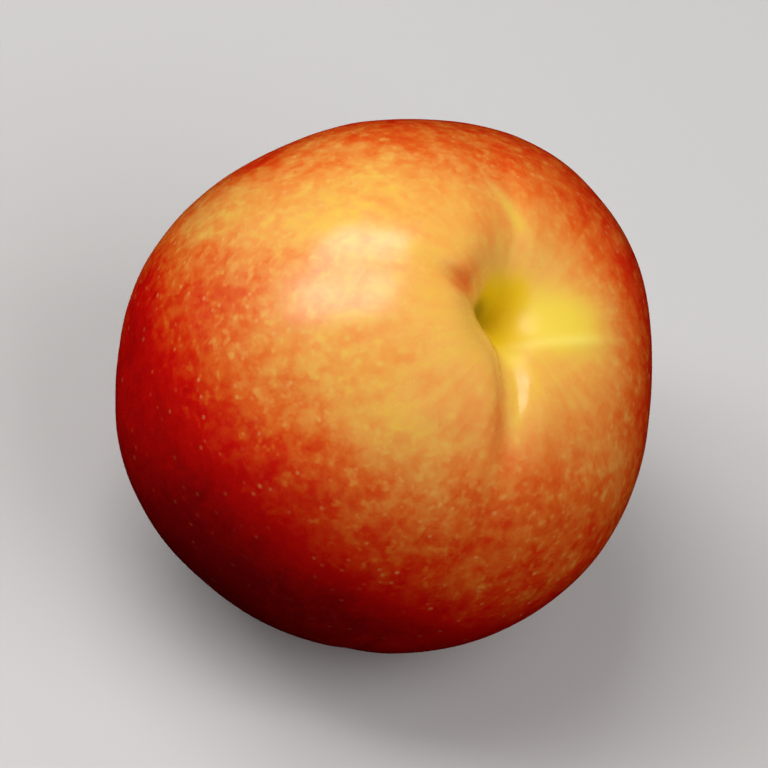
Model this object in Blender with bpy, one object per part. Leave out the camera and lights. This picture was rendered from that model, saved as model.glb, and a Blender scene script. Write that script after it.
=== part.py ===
"""A ripe nectarine, one solid, lying as it settles on a table: its stem cavity is tilted to the right
and a little to the front, and its suture runs from there down the front.

Metres, +Z up, -Y to the front. The origin is on the small flat spot that the fruit rests on.

The skin is worked out in the fruit's own frame: its stem axis, the direction of its suture and the
direction of its right cheek. A smooth body comes first. Each other form is a depth that is pressed
into that body or a height that is raised from it, along the line from the middle of the fruit.
"""

import math

import bmesh
import bpy
import numpy as np
from mathutils import Matrix, Vector

NAME = "nectarine"
MM = 0.001

# How the fruit lies: its stem axis, and the side of that axis where the suture is
STEM_AXIS = Vector((0.426, -0.313, 0.849))
SUTURE_SIDE = Vector((0.146, -0.902, -0.406))

# The body, as its reach from the middle of the fruit to each side
LEFT_CHEEK = 38.6 * MM
RIGHT_CHEEK = 35.2 * MM
SUTURE_REACH = 37.9 * MM
BACK_REACH = 35.9 * MM
STEM_REACH = 37.6 * MM
APEX_REACH = 37.0 * MM
FULLNESS = 2.12

# Broad unevenness of the body: towards where, in the fruit's own frame, how high and how wide
SWELLS = (
    ((-0.82, 0.33, 0.47), 0.8 * MM, math.radians(26)),
    ((-0.79, -0.61, -0.04), -1.0 * MM, math.radians(26)),
    ((0.28, -0.80, -0.53), 0.9 * MM, math.radians(22)),
    ((0.05, 0.89, 0.46), -0.9 * MM, math.radians(24)),
    ((0.29, 0.21, -0.93), 0.8 * MM, math.radians(17)),
)

# The stem cavity, a funnel: steep under the left cheek, open towards the right cheek. Its middle is
# given along the suture and across it, from the stem axis. Each width and curve is given towards the
# suture, the right cheek, the back and the left cheek.
CAVITY_PLACE = (-1.4 * MM, -1.8 * MM)
CAVITY_DEPTH = 7.0 * MM
CAVITY_WIDTHS = (8.5 * MM, 13.0 * MM, 8.5 * MM, 6.2 * MM)
CAVITY_CURVES = (1.9, 1.7, 2.0, 2.4)

# The pit at the bottom of the cavity, where the stalk sat, and the scar in it
PIT_PLACE = (-1.8 * MM, -2.6 * MM)
PIT_DEPTH = 3.4 * MM
PIT_RADIUS = 3.8 * MM
PIT_CURVE = 2.1
SCAR_DEPTH = 0.6 * MM
SCAR_RADIUS = 1.7 * MM

# The suture, a groove from the cavity down the front to the apex, where only a trace of it is left
SUTURE_PLACE = -1.2 * MM
SUTURE_DEPTH = 2.9 * MM
SUTURE_END = math.radians(26)
SUTURE_CURVE = 3
SUTURE_TRACE = 0.25 * MM
SUTURE_LEFT = 2.1 * MM
SUTURE_RIGHT = 3.2 * MM

# The dip at the back of the cavity's rim
NOTCH_PLACE = -1.2 * MM
NOTCH_DEPTH = 1.2 * MM
NOTCH_END = math.radians(32)
NOTCH_LEFT = 5.0 * MM
NOTCH_RIGHT = 2.4 * MM

# The apex: a blunt tip in a shallow dip
APEX_DIP = 1.8 * MM
APEX_DIP_WIDTH = math.radians(17)
TIP_HEIGHT = 1.3 * MM
TIP_WIDTH = math.radians(3.6)

# How softly a form that belongs to one end or to one side fades out where the other begins
END_SOFTNESS = 0.05
SIDE_SOFTNESS = 0.06

# The middle of the fruit, over the flat spot that its weight has pressed into it
MIDDLE = Vector((0.3, 1.3, 36.7)) * MM

# How finely the skin is divided, and how much closer its lines run beside the suture and the cavity
LINES_AROUND = 64
LINES_DOWN = 44
CROWD_AROUND = 0.5
CROWD_DOWN = 0.45


def bell(distance, width):
    """1 in the middle, falling smoothly towards 0 past the width."""
    return np.exp(-((distance / width) ** 2))


def body_reach(direction):
    """The smooth body: how far it reaches from the middle of the fruit in each direction."""
    x, y, z = direction.T
    to_suture = np.where(x > 0, SUTURE_REACH, BACK_REACH)
    to_cheek = np.where(y > 0, RIGHT_CHEEK, LEFT_CHEEK)
    to_end = np.where(z > 0, STEM_REACH, APEX_REACH)
    total = np.abs(x / to_suture) ** FULLNESS
    total += np.abs(y / to_cheek) ** FULLNESS
    total += np.abs(z / to_end) ** FULLNESS
    return total ** (-1 / FULLNESS)


def swell_height(direction):
    """The body's broad unevenness: the shoulders, hollows and flatter stretches between its sides."""
    height = np.zeros(len(direction))
    for place, rise, width in SWELLS:
        middle = np.array(place) / np.linalg.norm(place)
        height += rise * bell(np.arccos(np.clip(direction @ middle, -1, 1)), width)
    return height


def sided_bell(distance, width_below, width_above):
    """A bell whose two sides differ in width."""
    return np.where(distance < 0, bell(distance, width_below), bell(distance, width_above))


def beyond(position, softness):
    """0 below the middle and 1 above it, with a soft change between."""
    return 1 / (1 + np.exp(-position / softness))


def between_four(around, values):
    """A smooth value at each angle around the stem axis, through one value at each quarter turn."""
    mean = sum(values) / 4
    forward = (values[0] - values[2]) / 2
    sideways = (values[1] - values[3]) / 2
    length = (values[0] + values[2] - values[1] - values[3]) / 4
    return mean + forward * np.cos(around) + sideways * np.sin(around) + length * np.cos(2 * around)


def around_place(along, across, place):
    """The angle round a place and the distance from it."""
    along = along - place[0]
    across = across - place[1]
    return np.arctan2(across, along), np.hypot(along, across)


def skin_reach(direction):
    """How far the skin is from the middle of the fruit in each direction."""
    x, y, z = direction.T
    down = np.arccos(np.clip(z, -1, 1))
    reach = body_reach(direction) + swell_height(direction)
    along = reach * x
    across = reach * y
    upper = beyond(z, END_SOFTNESS)
    front = beyond(x, SIDE_SOFTNESS)

    around, from_middle = around_place(along, across, CAVITY_PLACE)
    share = from_middle / between_four(around, CAVITY_WIDTHS)
    cavity = CAVITY_DEPTH * upper * np.exp(-(share ** between_four(around, CAVITY_CURVES)))
    from_pit = around_place(along, across, PIT_PLACE)[1]
    pit = PIT_DEPTH * upper * np.exp(-((from_pit / PIT_RADIUS) ** PIT_CURVE))
    pit += SCAR_DEPTH * upper * bell(from_pit, SCAR_RADIUS)

    near_cavity = np.exp(-((down / SUTURE_END) ** SUTURE_CURVE))
    groove_depth = SUTURE_TRACE + (SUTURE_DEPTH - SUTURE_TRACE) * near_cavity
    shift = SUTURE_PLACE * near_cavity
    suture = groove_depth * front * sided_bell(across - shift, SUTURE_LEFT, SUTURE_RIGHT)
    notch = NOTCH_DEPTH * (1 - front) * bell(down, NOTCH_END)
    notch = notch * sided_bell(across - NOTCH_PLACE, NOTCH_LEFT, NOTCH_RIGHT)

    from_apex = math.pi - down
    apex = APEX_DIP * bell(from_apex, APEX_DIP_WIDTH) - TIP_HEIGHT * bell(from_apex, TIP_WIDTH)
    return reach - cavity - pit - suture - notch - apex


def crowded(direction):
    """Directions moved along the sphere, closer together beside the suture, its back and the cavity."""
    x, y, z = direction.T
    around = np.arctan2(y, x)
    around = around - CROWD_AROUND * np.sin(2 * around) / 2
    down = np.arccos(np.clip(z, -1, 1))
    down = down - CROWD_DOWN * np.sin(down)
    return np.stack((np.sin(down) * np.cos(around), np.sin(down) * np.sin(around), np.cos(down)), axis=1)


def lie_down():
    """The rotation from the fruit's own frame to the way it lies."""
    stem = STEM_AXIS.normalized()
    suture = (SUTURE_SIDE - stem * SUTURE_SIDE.dot(stem)).normalized()
    right = stem.cross(suture)
    return Matrix((suture, right, stem)).transposed()


def skin_mesh(lines_around, lines_down):
    """The whole skin as one closed mesh, lying on its flat spot at the origin."""
    shape = bmesh.new()
    bmesh.ops.create_uvsphere(shape, u_segments=lines_around, v_segments=lines_down, radius=1)
    directions = crowded(np.array([vertex.co.normalized() for vertex in shape.verts]))
    places = directions * skin_reach(directions)[:, None]
    places = places @ np.array(lie_down()).T + MIDDLE

    # The flat spot: what is lower than it is pressed up to it
    places[:, 2] = np.maximum(places[:, 2], 0)

    for vertex, place in zip(shape.verts, places):
        vertex.co = place
    bmesh.ops.triangulate(shape, faces=shape.faces)
    bmesh.ops.recalc_face_normals(shape, faces=shape.faces)
    mesh = bpy.data.meshes.new(NAME)
    shape.to_mesh(mesh)
    shape.free()
    mesh.shade_smooth()
    return mesh


def skin_material():
    """Ripe skin: a plain orange red with a soft shine."""
    material = bpy.data.materials.new("nectarine_skin")
    material.use_nodes = True
    shader = material.node_tree.nodes["Principled BSDF"]
    shader.inputs["Base Color"].default_value = (0.62, 0.13, 0.02, 1)
    shader.inputs["Roughness"].default_value = 0.35
    shader.inputs["Metallic"].default_value = 0.0
    return material


def main():
    for leftover in list(bpy.data.objects):
        bpy.data.objects.remove(leftover, do_unlink=True)
    collection = bpy.data.collections.new(NAME)
    bpy.context.scene.collection.children.link(collection)
    fruit = bpy.data.objects.new(NAME, skin_mesh(LINES_AROUND, LINES_DOWN))
    fruit.data.materials.append(skin_material())
    collection.objects.link(fruit)


main()
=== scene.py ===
"""The looks of a ripe nectarine: its fine skin, its colours, the floor, the light and the camera.

Metres, +Z up, the front is -Y. The skin is worked out by the same formula as the solid that it
stands for, with the small unevenness of a real skin added. Its colours come from fields that are
worked out at each point of the skin, such as how much sun it had, and from noise in the material.
"""

import math

import bmesh
import bpy
import numpy as np
from mathutils import Matrix, Vector, noise

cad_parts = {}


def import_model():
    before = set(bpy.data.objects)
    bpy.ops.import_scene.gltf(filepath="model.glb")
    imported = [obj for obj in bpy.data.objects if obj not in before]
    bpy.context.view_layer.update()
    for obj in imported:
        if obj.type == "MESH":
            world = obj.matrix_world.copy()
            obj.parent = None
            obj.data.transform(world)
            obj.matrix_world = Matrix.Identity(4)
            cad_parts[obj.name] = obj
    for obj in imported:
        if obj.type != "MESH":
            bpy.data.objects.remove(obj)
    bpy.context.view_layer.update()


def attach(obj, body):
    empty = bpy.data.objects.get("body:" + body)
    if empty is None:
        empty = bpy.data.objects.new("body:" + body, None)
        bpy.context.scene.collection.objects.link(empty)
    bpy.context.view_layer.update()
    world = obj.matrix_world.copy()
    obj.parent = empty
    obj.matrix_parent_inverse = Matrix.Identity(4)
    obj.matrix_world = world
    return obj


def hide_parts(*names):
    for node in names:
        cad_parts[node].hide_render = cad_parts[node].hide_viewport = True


MM = 0.001

# How the fruit lies: its stem axis, and the side of that axis where the suture is
STEM_AXIS = Vector((0.426, -0.313, 0.849))
SUTURE_SIDE = Vector((0.146, -0.902, -0.406))

# The body, as its reach from the middle of the fruit to each side
LEFT_CHEEK = 38.6 * MM
RIGHT_CHEEK = 35.2 * MM
SUTURE_REACH = 37.9 * MM
BACK_REACH = 35.9 * MM
STEM_REACH = 37.6 * MM
APEX_REACH = 37.0 * MM
FULLNESS = 2.12

# Broad unevenness of the body: towards where, in the fruit's own frame, how high and how wide
SWELLS = (
    ((-0.82, 0.33, 0.47), 0.8 * MM, math.radians(26)),
    ((-0.79, -0.61, -0.04), -1.0 * MM, math.radians(26)),
    ((0.28, -0.80, -0.53), 0.9 * MM, math.radians(22)),
    ((0.05, 0.89, 0.46), -0.9 * MM, math.radians(24)),
    ((0.29, 0.21, -0.93), 0.8 * MM, math.radians(17)),
)

# The stem cavity, a funnel: steep under the left cheek, open towards the right cheek. Its middle is
# given along the suture and across it, from the stem axis. Each width and curve is given towards the
# suture, the right cheek, the back and the left cheek.
CAVITY_PLACE = (-1.4 * MM, -1.8 * MM)
CAVITY_DEPTH = 7.0 * MM
CAVITY_WIDTHS = (8.5 * MM, 13.0 * MM, 8.5 * MM, 6.2 * MM)
CAVITY_CURVES = (1.9, 1.7, 2.0, 2.4)

# The pit at the bottom of the cavity, where the stalk sat, and the scar in it
PIT_PLACE = (-1.8 * MM, -2.6 * MM)
PIT_DEPTH = 3.4 * MM
PIT_RADIUS = 3.8 * MM
PIT_CURVE = 2.1
SCAR_DEPTH = 0.6 * MM
SCAR_RADIUS = 1.7 * MM

# The suture, a groove from the cavity down the front to the apex, where only a trace of it is left
SUTURE_PLACE = -1.2 * MM
SUTURE_DEPTH = 2.9 * MM
SUTURE_END = math.radians(26)
SUTURE_CURVE = 3
SUTURE_TRACE = 0.25 * MM
SUTURE_LEFT = 2.1 * MM
SUTURE_RIGHT = 3.2 * MM

# The dip at the back of the cavity's rim
NOTCH_PLACE = -1.2 * MM
NOTCH_DEPTH = 1.2 * MM
NOTCH_END = math.radians(32)
NOTCH_LEFT = 5.0 * MM
NOTCH_RIGHT = 2.4 * MM

# The apex: a blunt tip in a shallow dip
APEX_DIP = 1.8 * MM
APEX_DIP_WIDTH = math.radians(17)
TIP_HEIGHT = 1.3 * MM
TIP_WIDTH = math.radians(3.6)

# How softly a form that belongs to one end or to one side fades out where the other begins
END_SOFTNESS = 0.05
SIDE_SOFTNESS = 0.06

# The middle of the fruit, over the flat spot that its weight has pressed into it
MIDDLE = Vector((0.3, 1.3, 36.7)) * MM

# Small forms that only the visible skin has: a fold that runs from the cavity out over the right
# cheek, a crease at the bottom of the suture's upper end, a tuck between the left cheek and the back,
# and a slight waviness all over
FOLD_HEIGHT = 0.35 * MM
FOLD_MIDDLE = 7.5 * MM
FOLD_LENGTH = 5.5 * MM
FOLD_OFFSET = 3.4 * MM
FOLD_SLANT = -0.2
FOLD_BACK = 0.9 * MM
FOLD_FRONT = 2.0 * MM
CREASE_DEPTH = 0.35 * MM
CREASE_MIDDLE = 11.0 * MM
CREASE_LENGTH = 4.0 * MM
CREASE_OFFSET = 0.9 * MM
CREASE_LEFT = 0.9 * MM
CREASE_RIGHT = 0.55 * MM
TUCK_PLACE = (-3.2 * MM, -9.0 * MM)
TUCK_TURN = math.radians(20)
TUCK_DEPTH = 1.7 * MM
TUCK_LENGTH = 4.0 * MM
TUCK_WIDTH = 1.25 * MM
WAVES = ((70.0, 0.25 * MM), (190.0, 0.07 * MM))

# How finely the skin is divided, and how much closer its lines run beside the suture and the cavity
LINES_AROUND = 360
LINES_DOWN = 260
CROWD_AROUND = 0.5
CROWD_DOWN = 0.45

# The blush goes from 0, golden, to 1.2, crimson. It is worked out from two angles in degrees: the one
# round the stem axis, with the suture at 0 and the right cheek at 90, and the one down from that axis.
# A value that changes round the axis has a start, and then some sides: the angle of each, its width
# and how much is added there.
GOLDEN = 0.22
GOLDEN_AT_STEM = 0.02
GOLDEN_WIDTH = 18
ORANGE = (0.66, ((118, 48, 0.18), (-118, 25, -0.20), (-150, 20, 0.04)))
ORANGE_FROM = (25, ((-85, 65, 28), (-125, 20, 8), (90, 30, 5)))
ORANGE_SOFTNESS = (7, ((100, 60, -3),))
CRIMSON = (0, ((-38, 70, 0.60), (140, 50, 0.25)))
CRIMSON_FROM = (70, ((-90, 40, 8), (10, 40, -4)))
CRIMSON_SOFTNESS = 6

# A pale tongue that runs down between the left cheek and the back
TONGUE_PLACE = -113
TONGUE_WIDTH = 9
TONGUE_TOP = 45
TONGUE_TOP_SOFTNESS = 6
TONGUE_END = 88
TONGUE_END_SOFTNESS = 3
TONGUE_PALER = 0.28

# Patches that are redder or paler than the skin round them: the angle round the stem axis and down
# from it, how wide the patch is in each of the two, and how much redder it is
PATCHES = (
    (-83, 60, 15, 10, -0.08),
    (-48, 60, 16, 10, 0.09),
    (-40, 40, 18, 10, -0.2),
    (-150, 46, 20, 9, -0.10),
    (8, 82, 25, 12, 0.04),
    (-97, 99, 14, 9, 0.2),
    (-94, 84, 10, 6, -0.10),
    (-131, 76, 8, 8, 0.24),
    (-119, 60, 10, 6, 0.12),
    (-118, 72, 8, 6, -0.06),
    (50, 41, 18, 12, -0.15),
    (5, 67, 18, 9, -0.07),
    (88, 52, 25, 6, 0.08),
    # Paler where the highlight falls: partly a painted highlight
    (-91, 40, 16, 10, -0.06),
    (175, 42, 18, 8, -0.06),
)

# Marks beside the cavity, two of them painted light: the place along the suture and across it, the length
# and the width, all in millimetres, and how much redder the skin is there
MARKS_AND_PAINTED_LIGHT = (
    (-10.0, -5.5, 6.0, 3.0, 0.17),
    # Painted shade: a redder, darker spot in the crease of the tuck between the left cheek and the back
    (-3.8, -8.8, 2.9, 2.9, 0.36),
    (10.0, 2.0, 7.0, 3.0, -0.10),
    # Painted highlight: a pale streak that carries the shine on the suture's crease further down
    (12.5, 0.8, 5.0, 1.3, -0.22),
    (11.0, -2.8, 6.0, 1.5, 0.12),
)

# A pale streak that runs slanting over the back of the cavity's rim: partly the skin's paler suture line
# and partly a painted highlight where its ridge catches the light
STREAK_PLACE = (-13.3 * MM, -0.1 * MM)
STREAK_SLANT = 0.6
STREAK_WIDTH = 1.2 * MM
STREAK_MIDDLE = -15.5 * MM
STREAK_LENGTH = 3.5 * MM
STREAK_PALER = 0.30

# The sides that lay in the shade: each as a direction in the world, its width and how much paler it is
SHADED = (
    ((0.5, 0.75, -0.5), 30, 0.3),
    ((0.1, 0.2, -1.0), 35, 0.2),
)

# The fine speckles: their strength near the stem and in the deep red, how far down they come in, and
# the blush at which they fade out
SPECKLES_LEAST = 0.25
SPECKLES_FROM = 30
SPECKLES_SOFTNESS = 7
SPECKLES_TO_BLUSH = 0.95
SPECKLES_FADE = 0.06

# The rays are noise that changes less from the stem down than it does round the fruit
RAYS_STRETCH = 0.35

# Where the cavity has its own colours and painted light, along the suture and across it: the yellow wall
# under the right cheek, the yellow top of the suture, a painted highlight along the lip, and the olive
# bottom, which is partly its own colour and partly painted shade
YELLOW_PLACE = (-0.5 * MM, 6.5 * MM)
YELLOW_BACK = 5.5 * MM
YELLOW_FRONT = 5.0 * MM
YELLOW_LEFT = 7.0 * MM
YELLOW_RIGHT = 7.5 * MM
GROOVE_PLACE = (5.0 * MM, 0.6 * MM)
GROOVE_LENGTH = 2.8 * MM
GROOVE_WIDTH = 1.9 * MM
GROOVE_SHARE = 0.75
LIP_HIGHLIGHT_PLACE = (3.3 * MM, 7.0 * MM)
LIP_HIGHLIGHT_SLANT = -0.2
LIP_HIGHLIGHT_WIDTH = 0.85 * MM
LIP_HIGHLIGHT_LENGTH = 6.5 * MM
OLIVE_SHADE_PLACE = (-1.2 * MM, -0.4 * MM)
OLIVE_SHADE_LENGTH = 5.7 * MM
OLIVE_SHADE_WIDTH = 3.6 * MM

# The colours of the blush, from golden to crimson, and the blush that each stands for
BLUSH_COLOURS = (
    (0.0, (0.79, 0.48, 0.06)),
    (0.2, (0.80, 0.40, 0.07)),
    (0.4, (0.79, 0.27, 0.045)),
    (0.6, (0.76, 0.13, 0.012)),
    (0.8, (0.70, 0.035, 0.002)),
    (0.975, (0.65, 0.004, 0.001)),
    (1.1, (0.54, 0.002, 0.001)),
    (1.25, (0.30, 0.001, 0.002)),
)
# Cavity colours: the olive is partly painted shade, and the lip colour is a painted highlight
YELLOW_COLOUR = (0.81, 0.60, 0.05)
OLIVE_SHADE_COLOUR = (0.75, 0.49, 0.003)
LIP_HIGHLIGHT_COLOUR = (0.88, 0.70, 0.15)
SCAR_COLOUR = (0.38, 0.25, 0.005)
PORE_COLOUR = (0.85, 0.50, 0.16)

# How strongly each of those shows: the part of its field over which it comes in, and its share
YELLOW_RANGE = (0.1, 0.9, 0.0, 0.9)
OLIVE_SHADE_RANGE = (0.1, 0.9, 0.0, 1.0)
SCAR_RANGE = (0.0, 0.8, 0.0, 1.0)
LIP_HIGHLIGHT_SHARE = 0.5

# Layers of noise: the scale, the detail and the roughness of each, the part of it that counts, and the
# values which that part stands for. All but the last change the blush, and the last is the roughness
# of the shine.
CLOUDS = (55, 3.0, 0.5, 0.3, 0.7, -0.05, 0.05)
RAYS = (9, 3.0, 0.65, 0.3, 0.7, -0.05, 0.05)
GRAIN = (520, 2.5, 0.6, 0.33, 0.67, -0.07, 0.07)
MOTTLES = (250, 2.0, 0.6, 0.3, 0.7, -0.03, 0.09)
FLECKS = (700, 1.5, 0.5, 0.52, 0.74, 0.0, -0.16)
SHINE = (300, 3.0, 0.6, 0.3, 0.7, 0.22, 0.29)

# The clouds and rays are weaker in the deep red: the blush over which they fade, and their strength
BROAD_RANGE = (0.9, 1.1, 1.0, 0.4)

# The pores: how close they are, how large each is and its share, and which of them show
PORE_SCALE = 520
PORE_RANGE = (0.08, 0.24, 0.4, 0.0)
PORE_CHOICE = (0.3, 0.9, 0.0, 1.0)

# The skin as a surface: how much rougher it is where the cavity shelters it, its gloss, the light that
# goes into it, and its fine dimples, with the scale, the detail and the roughness of their two layers
SHELTERED_ROUGHNESS = 0.25
SPECULAR_LEVEL = 0.58
SUBSURFACE = 0.12
SUBSURFACE_RADIUS = (1.0, 0.35, 0.08)
SUBSURFACE_DEPTH = 3 * MM
DIMPLES = ((450, 3.0, 0.5), (160, 2.0, 0.5))
DIMPLE_STRENGTH = 0.12
DIMPLE_DEPTH = 0.2 * MM

# The floor, a square
FLOOR_SIZE = 4
FLOOR_COLOUR = (0.57, 0.56, 0.55, 1)
FLOOR_ROUGHNESS = 0.8

# The camera: the photograph's height over the table and roll, how far away it is and how far it sees,
# and the width of the view at the fruit
CAMERA_HEIGHT = math.radians(48)
CAMERA_ROLL = math.radians(10.8)
CAMERA_DISTANCE = 1.47
CAMERA_SIGHT = 20
VIEW_WIDTH = 107 * MM
SENSOR_WIDTH = 36 * MM
AIM = Vector((-0.0014, -0.0001, 0.0369))

# The pale light from all round: how high in the world it has faded out and is whole, and its strength
WORLD_LIGHT = (-0.5, -0.05, 0.03, 0.2)

# The light: two strips side by side that give the highlight, and two softboxes that light the rest.
# Each has a direction from the fruit, a distance, a width from left to right, a height and a power.
LIGHTS = (
    ("strip_front", Vector((-0.40, -0.12, 0.91)), 0.6, 0.50, 0.14, 1.25),
    ("strip_back", Vector((-0.30, 0.20, 0.93)), 0.6, 0.38, 0.12, 1.03),
    ("softbox_front", Vector((0.56, -0.42, 0.72)), 1.0, 0.8, 0.8, 5.9),
    ("softbox_left", Vector((-0.86, 0.22, 0.45)), 1.0, 0.8, 0.8, 3.6),
)


def bell(distance, width):
    """1 in the middle, falling smoothly towards 0 past the width."""
    return np.exp(-((distance / width) ** 2))


def body_reach(direction):
    """The smooth body: how far it reaches from the middle of the fruit in each direction."""
    x, y, z = direction.T
    to_suture = np.where(x > 0, SUTURE_REACH, BACK_REACH)
    to_cheek = np.where(y > 0, RIGHT_CHEEK, LEFT_CHEEK)
    to_end = np.where(z > 0, STEM_REACH, APEX_REACH)
    total = np.abs(x / to_suture) ** FULLNESS
    total += np.abs(y / to_cheek) ** FULLNESS
    total += np.abs(z / to_end) ** FULLNESS
    return total ** (-1 / FULLNESS)


def swell_height(direction):
    """The body's broad unevenness: the shoulders, hollows and flatter stretches between its sides."""
    height = np.zeros(len(direction))
    for place, rise, width in SWELLS:
        middle = np.array(place) / np.linalg.norm(place)
        height += rise * bell(np.arccos(np.clip(direction @ middle, -1, 1)), width)
    return height


def sided_bell(distance, width_below, width_above):
    """A bell whose two sides differ in width."""
    return np.where(distance < 0, bell(distance, width_below), bell(distance, width_above))


def beyond(position, softness):
    """0 below the middle and 1 above it, with a soft change between."""
    return 1 / (1 + np.exp(-position / softness))


def between_four(around, values):
    """A smooth value at each angle around the stem axis, through one value at each quarter turn."""
    mean = sum(values) / 4
    forward = (values[0] - values[2]) / 2
    sideways = (values[1] - values[3]) / 2
    length = (values[0] + values[2] - values[1] - values[3]) / 4
    return mean + forward * np.cos(around) + sideways * np.sin(around) + length * np.cos(2 * around)


def around_place(along, across, place):
    """The angle round a place and the distance from it."""
    along = along - place[0]
    across = across - place[1]
    return np.arctan2(across, along), np.hypot(along, across)


def skin_reach(direction):
    """How far the skin is from the middle of the fruit in each direction."""
    x, y, z = direction.T
    down = np.arccos(np.clip(z, -1, 1))
    reach = body_reach(direction) + swell_height(direction)
    along = reach * x
    across = reach * y
    upper = beyond(z, END_SOFTNESS)
    front = beyond(x, SIDE_SOFTNESS)

    around, from_middle = around_place(along, across, CAVITY_PLACE)
    share = from_middle / between_four(around, CAVITY_WIDTHS)
    cavity = CAVITY_DEPTH * upper * np.exp(-(share ** between_four(around, CAVITY_CURVES)))
    from_pit = around_place(along, across, PIT_PLACE)[1]
    pit = PIT_DEPTH * upper * np.exp(-((from_pit / PIT_RADIUS) ** PIT_CURVE))
    pit += SCAR_DEPTH * upper * bell(from_pit, SCAR_RADIUS)

    near_cavity = np.exp(-((down / SUTURE_END) ** SUTURE_CURVE))
    groove_depth = SUTURE_TRACE + (SUTURE_DEPTH - SUTURE_TRACE) * near_cavity
    shift = SUTURE_PLACE * near_cavity
    suture = groove_depth * front * sided_bell(across - shift, SUTURE_LEFT, SUTURE_RIGHT)
    notch = NOTCH_DEPTH * (1 - front) * bell(down, NOTCH_END)
    notch = notch * sided_bell(across - NOTCH_PLACE, NOTCH_LEFT, NOTCH_RIGHT)

    from_apex = math.pi - down
    apex = APEX_DIP * bell(from_apex, APEX_DIP_WIDTH) - TIP_HEIGHT * bell(from_apex, TIP_WIDTH)
    return reach - cavity - pit - suture - notch - apex


def small_forms(direction):
    """The height of the fold, the crease, the tuck and the waviness at each direction."""
    reach = skin_reach(direction)
    along, across = reach * direction.T[:2]
    upper = beyond(direction.T[2], END_SOFTNESS)

    middle = FOLD_OFFSET + FOLD_SLANT * across
    fold = sided_bell(along - middle, FOLD_BACK, FOLD_FRONT) * bell(across - FOLD_MIDDLE, FOLD_LENGTH)
    height = FOLD_HEIGHT * upper * fold

    crease = sided_bell(across - CREASE_OFFSET, CREASE_LEFT, CREASE_RIGHT)
    height -= CREASE_DEPTH * upper * crease * bell(along - CREASE_MIDDLE, CREASE_LENGTH)

    east = across - TUCK_PLACE[1]
    south = along - TUCK_PLACE[0]
    lengthwise = east * math.cos(TUCK_TURN) + south * math.sin(TUCK_TURN)
    sideways = south * math.cos(TUCK_TURN) - east * math.sin(TUCK_TURN)
    height -= TUCK_DEPTH * upper * bell(lengthwise, TUCK_LENGTH) * bell(sideways, TUCK_WIDTH)

    places = [Vector(place) for place in direction * reach[:, None]]
    for scale, rise in WAVES:
        height += rise * np.array([noise.noise(place * scale) for place in places])
    return height


def crowded(direction):
    """Directions moved along the sphere, closer together beside the suture, its back and the cavity."""
    x, y, z = direction.T
    around = np.arctan2(y, x)
    around = around - CROWD_AROUND * np.sin(2 * around) / 2
    down = np.arccos(np.clip(z, -1, 1))
    down = down - CROWD_DOWN * np.sin(down)
    return np.stack((np.sin(down) * np.cos(around), np.sin(down) * np.sin(around), np.cos(down)), axis=1)


def lie_down():
    """The rotation from the fruit's own frame to the way it lies."""
    stem = STEM_AXIS.normalized()
    suture = (SUTURE_SIDE - stem * SUTURE_SIDE.dot(stem)).normalized()
    right = stem.cross(suture)
    return Matrix((suture, right, stem)).transposed()


def add_field(mesh, name, values):
    """Stores one number, or one vector, for each point of the mesh."""
    if values.ndim == 1:
        mesh.attributes.new(name, "FLOAT", "POINT").data.foreach_set("value", values.astype(np.float32))
    else:
        field = mesh.attributes.new(name, "FLOAT_VECTOR", "POINT")
        field.data.foreach_set("vector", values.astype(np.float32).ravel())


def toward(direction, place, width):
    """A smooth patch round a place on the fruit, given as a direction in the world."""
    middle = np.array(place) / np.linalg.norm(place)
    angle = np.arccos(np.clip(direction @ middle, -1, 1))
    return bell(angle, math.radians(width))


def turn_between(around, middle):
    """The angle round the stem from a given one, in degrees from -180 to 180."""
    return (np.degrees(around) - middle + 180) % 360 - 180


def round_stem(around, value):
    """A value that changes round the stem axis, from its start and what each of its sides adds."""
    start, sides = value
    total = np.full(len(around), float(start))
    for middle, width, amount in sides:
        total += amount * bell(turn_between(around, middle), width)
    return total


def blush_field(around, down):
    """How red the skin is, from 0, golden, to 1.2, crimson: it deepens in two steps down from the stem."""
    from_stem = np.degrees(down)
    golden = GOLDEN - (GOLDEN - GOLDEN_AT_STEM) * bell(from_stem, GOLDEN_WIDTH)
    orange = round_stem(around, ORANGE)
    softness = round_stem(around, ORANGE_SOFTNESS)
    blush = golden + (orange - golden) * beyond(from_stem - round_stem(around, ORANGE_FROM), softness)
    crimson = beyond(from_stem - round_stem(around, CRIMSON_FROM), CRIMSON_SOFTNESS)
    blush += round_stem(around, CRIMSON) * crimson

    tongue = bell(turn_between(around, TONGUE_PLACE), TONGUE_WIDTH)
    tongue *= beyond(from_stem - TONGUE_TOP, TONGUE_TOP_SOFTNESS)
    tongue *= beyond(TONGUE_END - from_stem, TONGUE_END_SOFTNESS)
    blush -= TONGUE_PALER * tongue
    for middle, height, width, length, amount in PATCHES:
        blush += amount * bell(turn_between(around, middle), width) * bell(from_stem - height, length)
    return blush


def plateau(distance, width):
    """1 over most of the width, falling quickly towards 0 past it."""
    return np.exp(-((distance / width) ** 4))


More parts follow.
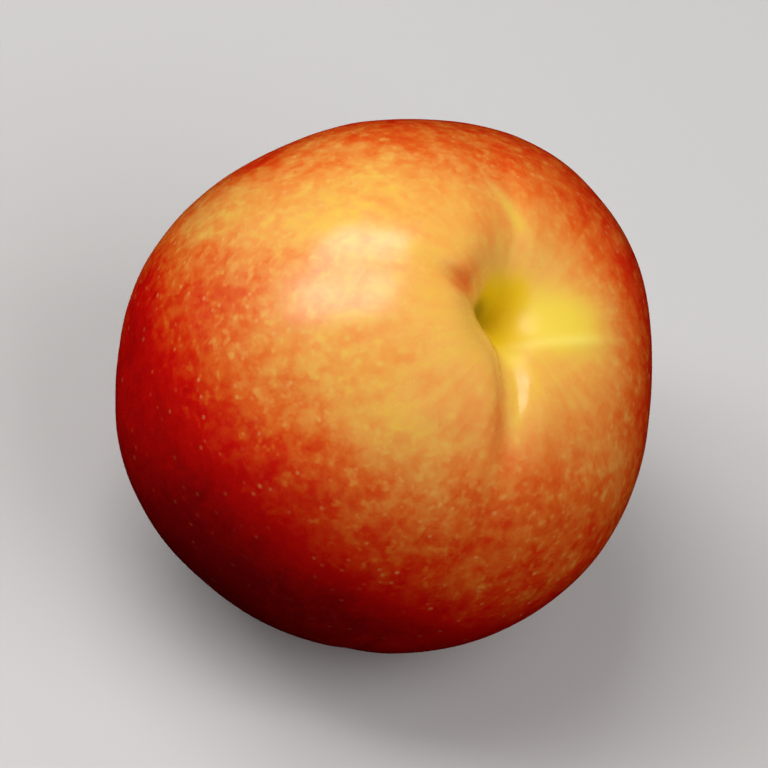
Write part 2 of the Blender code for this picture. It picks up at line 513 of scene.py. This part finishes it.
def skin_fields(mesh, own, world):
    """The fields that the skin's material reads, from directions in the fruit's frame and in the world."""
    x, y, z = own.T
    down = np.arccos(np.clip(z, -1, 1))
    around = np.arctan2(y, x)
    reach = skin_reach(own)
    along = reach * x
    across = reach * y

    # The blush, with the marks beside the cavity, among them painted shade in the tuck and a painted
    # highlight down the suture's crease, the pale streak at its back, partly a painted highlight, and the
    # shaded sides
    blush = blush_field(around, down)
    for place_along, place_across, length, width, amount in MARKS_AND_PAINTED_LIGHT:
        mark_and_painted_light = bell(along - place_along * MM, length * MM) * bell(across - place_across * MM, width * MM)
        blush += amount * mark_and_painted_light
    sideways = across - STREAK_PLACE[1] - STREAK_SLANT * (along - STREAK_PLACE[0])
    blush -= STREAK_PALER * bell(sideways, STREAK_WIDTH) * bell(along - STREAK_MIDDLE, STREAK_LENGTH)
    for place, width, paler in SHADED:
        blush -= paler * toward(world, place, width)
    add_field(mesh, "blush", blush)

    streaks = np.stack((np.cos(around), np.sin(around), down * RAYS_STRETCH), axis=1)
    add_field(mesh, "streaks", streaks)
    fine = beyond(np.degrees(down) - SPECKLES_FROM, SPECKLES_SOFTNESS)
    fine *= 1 - beyond(blush - SPECKLES_TO_BLUSH, SPECKLES_FADE)
    add_field(mesh, "speckled", SPECKLES_LEAST + (1 - SPECKLES_LEAST) * fine)

    # The cavity, which is on the upper half: its yellow wall and groove, a painted highlight along the
    # lip, the olive bottom, partly painted shade, and the scar
    upper = z > 0
    yellow = sided_bell(along - YELLOW_PLACE[0], YELLOW_BACK, YELLOW_FRONT)
    yellow *= sided_bell(across - YELLOW_PLACE[1], YELLOW_LEFT, YELLOW_RIGHT)
    groove = bell(along - GROOVE_PLACE[0], GROOVE_LENGTH) * bell(across - GROOVE_PLACE[1], GROOVE_WIDTH)
    add_field(mesh, "yellow", np.maximum(yellow, GROOVE_SHARE * groove) * upper)
    lip_highlight = bell(along - LIP_HIGHLIGHT_PLACE[0] - LIP_HIGHLIGHT_SLANT * across, LIP_HIGHLIGHT_WIDTH)
    add_field(mesh, "lip_highlight", lip_highlight * plateau(across - LIP_HIGHLIGHT_PLACE[1], LIP_HIGHLIGHT_LENGTH) * upper)
    olive_shade = plateau(along - OLIVE_SHADE_PLACE[0], OLIVE_SHADE_LENGTH) * plateau(across - OLIVE_SHADE_PLACE[1], OLIVE_SHADE_WIDTH)
    add_field(mesh, "olive_shade", olive_shade * upper)
    from_pit = around_place(along, across, PIT_PLACE)[1]
    add_field(mesh, "scar", bell(from_pit, SCAR_RADIUS) * upper)


def skin_mesh(lines_around, lines_down):
    """The whole skin as one closed mesh, lying on its flat spot at the origin."""
    shape = bmesh.new()
    bmesh.ops.create_uvsphere(shape, u_segments=lines_around, v_segments=lines_down, radius=1)
    own = crowded(np.array([vertex.co.normalized() for vertex in shape.verts]))
    turn = np.array(lie_down()).T
    places = own * (skin_reach(own) + small_forms(own))[:, None] @ turn + MIDDLE

    # The flat spot: what is lower than it is pressed up to it
    places[:, 2] = np.maximum(places[:, 2], 0)

    for vertex, place in zip(shape.verts, places):
        vertex.co = place
    bmesh.ops.recalc_face_normals(shape, faces=shape.faces)
    mesh = bpy.data.meshes.new("nectarine_skin")
    shape.to_mesh(mesh)
    shape.free()
    mesh.shade_smooth()
    skin_fields(mesh, own, own @ turn)
    return mesh


def add_ramp(tree, fac, stops):
    """A colour ramp with its stops given as a place and a colour."""
    ramp = tree.nodes.new("ShaderNodeValToRGB")
    colours = ramp.color_ramp
    colours.elements[0].position = stops[0][0]
    colours.elements[0].color = (*stops[0][1], 1)
    colours.elements[1].position = stops[-1][0]
    colours.elements[1].color = (*stops[-1][1], 1)
    for place, colour in stops[1:-1]:
        colours.elements.new(place).color = (*colour, 1)
    tree.links.new(fac, ramp.inputs["Fac"])
    return ramp.outputs["Color"]


def add_math(tree, operation, first, second):
    """A math node on two inputs, each a socket or a number."""
    node = tree.nodes.new("ShaderNodeMath")
    node.operation = operation
    for socket, value in zip(node.inputs, (first, second)):
        if isinstance(value, (int, float)):
            socket.default_value = value
        else:
            tree.links.new(value, socket)
    return node.outputs["Value"]


def add_field_node(tree, name, output="Fac"):
    """Reads a field that is stored on the mesh."""
    node = tree.nodes.new("ShaderNodeAttribute")
    node.attribute_name = name
    return node.outputs[output]


def add_noise(tree, place, scale, detail, roughness):
    """Noise from 0 to 1 at a place on the skin."""
    node = tree.nodes.new("ShaderNodeTexNoise")
    node.inputs["Scale"].default_value = scale
    node.inputs["Detail"].default_value = detail
    node.inputs["Roughness"].default_value = roughness
    tree.links.new(place, node.inputs["Vector"])
    return node.outputs["Fac"]


def add_range(tree, value, low, high, new_low, new_high):
    """Moves a value from one range to another, smoothly, and no further."""
    node = tree.nodes.new("ShaderNodeMapRange")
    node.interpolation_type = "SMOOTHSTEP"
    limits = {"From Min": low, "From Max": high, "To Min": new_low, "To Max": new_high}
    for name, number in limits.items():
        node.inputs[name].default_value = number
    tree.links.new(value, node.inputs["Value"])
    return node.outputs["Result"]


def add_layer(tree, place, layer):
    """A layer of noise at a place on the skin, moved to the values that it stands for."""
    scale, detail, roughness, *limits = layer
    return add_range(tree, add_noise(tree, place, scale, detail, roughness), *limits)


def add_mix(tree, share, first, second):
    """Mixes two colours, each a socket or a colour."""
    node = tree.nodes.new("ShaderNodeMix")
    node.data_type = "RGBA"
    tree.links.new(share, node.inputs["Factor"])

    # The node's sockets for colours are its inputs 6 and 7 and its output 2
    for socket, value in zip((node.inputs[6], node.inputs[7]), (first, second)):
        if isinstance(value, tuple):
            socket.default_value = (*value, 1)
        else:
            tree.links.new(value, socket)
    return node.outputs[2]


def skin_material():
    """Ripe nectarine skin: golden ground, red blush in streaks and speckles, and pale pores."""
    material = bpy.data.materials.new("ripe_skin")
    material.use_nodes = True
    tree = material.node_tree
    shader = tree.nodes["Principled BSDF"]
    place = tree.nodes.new("ShaderNodeTexCoord").outputs["Object"]
    blush = add_field_node(tree, "blush")
    streaks = add_field_node(tree, "streaks", "Vector")
    speckled = add_field_node(tree, "speckled")

    # The blush: broad clouds, rays from the stem down, and fine speckles where it thins out
    broad = add_math(tree, "ADD", add_layer(tree, place, CLOUDS), add_layer(tree, streaks, RAYS))
    broad = add_math(tree, "MULTIPLY", broad, add_range(tree, blush, *BROAD_RANGE))
    fine = add_math(tree, "ADD", add_layer(tree, place, GRAIN), add_layer(tree, place, MOTTLES))
    fine = add_math(tree, "ADD", fine, add_layer(tree, place, FLECKS))
    fine = add_math(tree, "MULTIPLY", fine, speckled)
    amount = add_math(tree, "ADD", add_math(tree, "ADD", blush, broad), fine)
    reddest = BLUSH_COLOURS[-1][0]
    stops = [(stop / reddest, colour) for stop, colour in BLUSH_COLOURS]
    skin = add_ramp(tree, add_math(tree, "MULTIPLY", amount, 1 / reddest), stops)

    # The ground colours of the cavity, where no sun reaches, with painted shade in its olive bottom and a
    # painted highlight along its lip, and the brown scar at its bottom
    yellow = add_field_node(tree, "yellow")
    skin = add_mix(tree, add_range(tree, yellow, *YELLOW_RANGE), skin, YELLOW_COLOUR)
    olive_shade = add_field_node(tree, "olive_shade")
    skin = add_mix(tree, add_range(tree, olive_shade, *OLIVE_SHADE_RANGE), skin, OLIVE_SHADE_COLOUR)
    lip_highlight = add_math(tree, "MULTIPLY", add_field_node(tree, "lip_highlight"), LIP_HIGHLIGHT_SHARE)
    skin = add_mix(tree, lip_highlight, skin, LIP_HIGHLIGHT_COLOUR)
    scar = add_range(tree, add_field_node(tree, "scar"), *SCAR_RANGE)
    skin = add_mix(tree, scar, skin, SCAR_COLOUR)

    # Pores: tiny pale dots, a few millimetres apart
    pores = tree.nodes.new("ShaderNodeTexVoronoi")
    pores.inputs["Scale"].default_value = PORE_SCALE
    tree.links.new(place, pores.inputs["Vector"])
    dots = add_range(tree, pores.outputs["Distance"], *PORE_RANGE)
    dots = add_math(tree, "MULTIPLY", dots, add_range(tree, pores.outputs["Color"], *PORE_CHOICE))
    dots = add_math(tree, "MULTIPLY", dots, speckled)
    skin = add_mix(tree, dots, skin, PORE_COLOUR)
    tree.links.new(skin, shader.inputs["Base Color"])

    # The shine, which no touch has given to the cavity
    sheltered = add_math(tree, "MAXIMUM", yellow, olive_shade)
    sheltered = add_math(tree, "MULTIPLY", sheltered, SHELTERED_ROUGHNESS)
    roughness = add_math(tree, "ADD", add_layer(tree, place, SHINE), sheltered)
    tree.links.new(roughness, shader.inputs["Roughness"])
    shader.inputs["Specular IOR Level"].default_value = SPECULAR_LEVEL
    shader.inputs["Subsurface Weight"].default_value = SUBSURFACE
    shader.inputs["Subsurface Radius"].default_value = SUBSURFACE_RADIUS
    shader.inputs["Subsurface Scale"].default_value = SUBSURFACE_DEPTH

    # The skin's fine unevenness
    dimples = add_math(tree, "ADD", *(add_noise(tree, place, *layer) for layer in DIMPLES))
    bump = tree.nodes.new("ShaderNodeBump")
    bump.inputs["Strength"].default_value = DIMPLE_STRENGTH
    bump.inputs["Distance"].default_value = DIMPLE_DEPTH
    tree.links.new(dimples, bump.inputs["Height"])
    tree.links.new(bump.outputs["Normal"], shader.inputs["Normal"])
    return material


def floor_material():
    """A plain pale surface with hardly any shine."""
    material = bpy.data.materials.new("pale_floor")
    material.use_nodes = True
    shader = material.node_tree.nodes["Principled BSDF"]
    shader.inputs["Base Color"].default_value = FLOOR_COLOUR
    shader.inputs["Roughness"].default_value = FLOOR_ROUGHNESS
    return material


def add_floor():
    """The floor, whose own light is kept off the fruit so that its underside stays in the shade."""
    bpy.ops.mesh.primitive_plane_add(size=FLOOR_SIZE)
    floor = bpy.context.object
    floor.name = "floor"
    floor.data.materials.append(floor_material())
    floor.visible_glossy = False
    floor.visible_diffuse = False


def add_softbox(name, direction, distance, width, height, power):
    """A rectangular softbox that faces the fruit."""
    data = bpy.data.lights.new(name, "AREA")
    data.shape = "RECTANGLE"
    data.size = width
    data.size_y = height
    data.energy = power
    light = bpy.data.objects.new(name, data)
    direction = direction.normalized()
    sideways = (Vector((1, 0, 0)) - direction * direction.x).normalized()
    turn = Matrix((sideways, direction.cross(sideways), direction)).transposed().to_4x4()
    light.matrix_world = Matrix.Translation(AIM + direction * distance) @ turn
    light.visible_glossy = name.startswith("strip")
    bpy.context.scene.collection.objects.link(light)


def add_world():
    """Pale light from all round, fading out below the floor."""
    world = bpy.data.worlds.new("studio")
    bpy.context.scene.world = world
    world.use_nodes = True
    background = world.node_tree.nodes["Background"]
    background.inputs["Color"].default_value = (1, 1, 1, 1)
    direction = world.node_tree.nodes.new("ShaderNodeTexCoord").outputs["Generated"]
    split = world.node_tree.nodes.new("ShaderNodeSeparateXYZ")
    world.node_tree.links.new(direction, split.inputs["Vector"])
    strength = add_range(world.node_tree, split.outputs["Z"], *WORLD_LIGHT)
    world.node_tree.links.new(strength, background.inputs["Strength"])
    world.cycles_visibility.glossy = False


def add_camera():
    """The camera looks down at the fruit from the front, rolled as in the photograph."""
    back = Vector((0, -math.cos(CAMERA_HEIGHT), math.sin(CAMERA_HEIGHT)))
    level_right = Vector((1, 0, 0))
    level_up = Vector((0, math.sin(CAMERA_HEIGHT), math.cos(CAMERA_HEIGHT)))
    right = level_right * math.cos(CAMERA_ROLL) + level_up * math.sin(CAMERA_ROLL)
    up = level_up * math.cos(CAMERA_ROLL) - level_right * math.sin(CAMERA_ROLL)
    data = bpy.data.cameras.new("camera")
    data.sensor_width = SENSOR_WIDTH / MM
    data.lens = SENSOR_WIDTH / MM * CAMERA_DISTANCE / VIEW_WIDTH
    data.clip_end = CAMERA_SIGHT
    camera = bpy.data.objects.new("camera", data)
    turn = Matrix((right, up, back)).transposed().to_4x4()
    camera.matrix_world = Matrix.Translation(AIM + back * CAMERA_DISTANCE) @ turn
    bpy.context.scene.collection.objects.link(camera)
    bpy.context.scene.camera = camera


def main():
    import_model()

    fruit = bpy.data.objects.new("nectarine_skin", skin_mesh(LINES_AROUND, LINES_DOWN))
    fruit.data.materials.append(skin_material())
    bpy.context.scene.collection.objects.link(fruit)
    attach(fruit, "root")
    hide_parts("nectarine")

    add_floor()
    add_world()
    for light in LIGHTS:
        add_softbox(*light)
    add_camera()
    bpy.context.scene.view_settings.view_transform = "Standard"


main()
